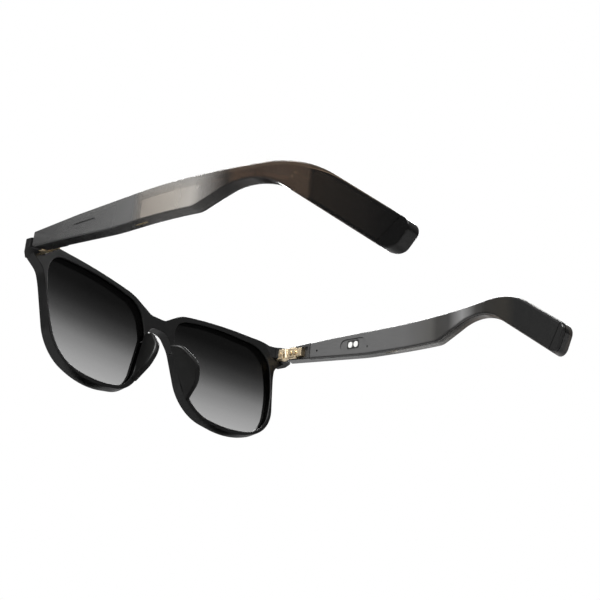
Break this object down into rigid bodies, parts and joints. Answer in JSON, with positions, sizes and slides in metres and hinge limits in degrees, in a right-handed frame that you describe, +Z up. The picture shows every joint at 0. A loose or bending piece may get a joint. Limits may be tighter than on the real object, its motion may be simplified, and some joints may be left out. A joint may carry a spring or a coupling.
{
  "type": "smart glasses",
  "caption": "Smart sunglasses: dark front with gradient lenses, gold hinges and translucent temples that hold sound, touch, batteries and charging contacts.",
  "frame": {"origin": "on the mid-plane, under the middle of the open glasses, level with their lowest point", "axes": "+X to the wearer's left, +Y back along the temples, +Z up"},
  "size_m": [0.1482, 0.1606, 0.0493],
  "materials": {
    "front_black": "polished black acetate-like moulding",
    "lens_gradient": "gradient grey sun lens, darkest at the top",
    "pad_smoke": "smoke moulded pad",
    "hinge_gold": "champagne gold plated",
    "screw_gold": "gold plated screw",
    "shell_smoke": "translucent smoke plastic",
    "cover_smoke": "translucent smoke plastic, satin",
    "seat_black": "black insert",
    "contact_plate": "bright plated contact",
    "board_green": "solder-masked board",
    "chip_black": "moulded packages",
    "can_metal": "metal can",
    "light_pipe": "clear light pipe",
    "film_grey": "dark sensing film",
    "speaker_grey": "light grey moulding",
    "driver_metal": "pressed metal driver",
    "mesh_gold": "fine metal screen",
    "flex_amber": "polyimide ribbon",
    "clamp_dark": "soft grommet",
    "cell_foil": "foil pouch cell",
    "sleeve_black": "satin black sleeve"
  },
  "bodies": {
    "front": {"front_frame": "front_black", "hinge_front_leaf_left": "hinge_gold", "hinge_front_leaf_right": "hinge_gold", "hinge_front_rivets_left": "screw_gold", "hinge_front_rivets_right": "screw_gold", "hinge_screw_left": "screw_gold", "hinge_screw_right": "screw_gold", "lens_left": "lens_gradient", "lens_right": "lens_gradient", "nose_pad_left": "pad_smoke", "nose_pad_right": "pad_smoke"},
    "temple_left": {"antenna_left": "film_grey", "battery_board_left": "board_green", "battery_cell_left": "cell_foil", "battery_sleeve_left": "sleeve_black", "board_chips_left": "chip_black", "cable_clamp_left": "clamp_dark", "charge_contacts_left": "contact_plate", "charge_seat_left": "seat_black", "flex_cable_left": "flex_amber", "hinge_temple_leaf_left": "hinge_gold", "hinge_temple_screws_left": "screw_gold", "main_board_left": "board_green", "microphone_left": "can_metal", "speaker_box_left": "speaker_grey", "speaker_driver_left": "driver_metal", "speaker_mesh_left": "mesh_gold", "status_light_left": "light_pipe", "temple_cover_left": "cover_smoke", "temple_shell_left": "shell_smoke", "touch_pad_left": "film_grey", "voice_microphone_left": "can_metal"},
    "temple_right": {"antenna_right": "film_grey", "battery_board_right": "board_green", "battery_cell_right": "cell_foil", "battery_sleeve_right": "sleeve_black", "board_chips_right": "chip_black", "cable_clamp_right": "clamp_dark", "charge_contacts_right": "contact_plate", "charge_seat_right": "seat_black", "flex_cable_right": "flex_amber", "hinge_temple_leaf_right": "hinge_gold", "hinge_temple_screws_right": "screw_gold", "main_board_right": "board_green", "microphone_right": "can_metal", "speaker_box_right": "speaker_grey", "speaker_driver_right": "driver_metal", "speaker_mesh_right": "mesh_gold", "status_light_right": "light_pipe", "temple_cover_right": "cover_smoke", "temple_shell_right": "shell_smoke", "touch_pad_right": "film_grey", "voice_microphone_right": "can_metal"}
  },
  "joints": [
    {"name": "temple_left_fold", "type": "hinge", "parent": "front", "child": "temple_left", "pos_m": [0.0667, -0.06389, 0.04329], "axis": [0, -0.2045, 0.9789], "range_deg": [0, 85]},
    {"name": "temple_right_fold", "type": "hinge", "parent": "front", "child": "temple_right", "pos_m": [-0.0667, -0.06389, 0.04329], "axis": [0, 0.2045, -0.9789], "range_deg": [0, 75]}
  ]
}
